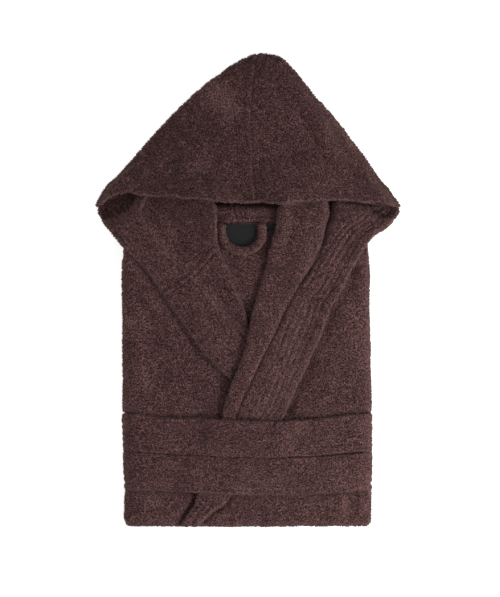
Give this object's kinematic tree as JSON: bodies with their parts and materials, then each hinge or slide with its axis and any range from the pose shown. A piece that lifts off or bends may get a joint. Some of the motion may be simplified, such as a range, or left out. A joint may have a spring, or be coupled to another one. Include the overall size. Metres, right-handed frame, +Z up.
{
  "type": "hooded bathrobe",
  "caption": "Hooded terry bathrobe folded flat with its front up: hood laid out above the neck as an open pocket, turned-out lapels with stitched bands, and its belt wound round it.",
  "frame": {"origin": "middle of the area that the robe covers, on the surface that it lies on", "axes": "+Y from the folded lower edge to the hood's peak, +X to the viewer's right when the front is seen from above, +Z up"},
  "size_m": [0.4085, 0.64, 0.0595],
  "materials": {
    "terry_brown": "looped terry, matte",
    "label_black": "woven satin tape, matte"
  },
  "bodies": {
    "root": {"folded_body": "terry_brown", "back_inside": "terry_brown", "hood_neck_left": "terry_brown", "hood_neck_right": "terry_brown", "neck_label": "label_black", "size_tag": "label_black", "hanging_loop": "terry_brown", "front_left": "terry_brown", "hood_lapel_left": "terry_brown", "lapel_left": "terry_brown", "hood_band_left": "terry_brown", "front_band_left": "terry_brown", "front_right": "terry_brown", "front_band_low": "terry_brown", "hood_lapel_right": "terry_brown", "lapel_right": "terry_brown", "hood_band_right": "terry_brown", "front_band_right": "terry_brown", "hood_left": "terry_brown", "hood_right": "terry_brown", "belt_upper": "terry_brown", "belt_lower": "terry_brown"}
  },
  "joints": []
}
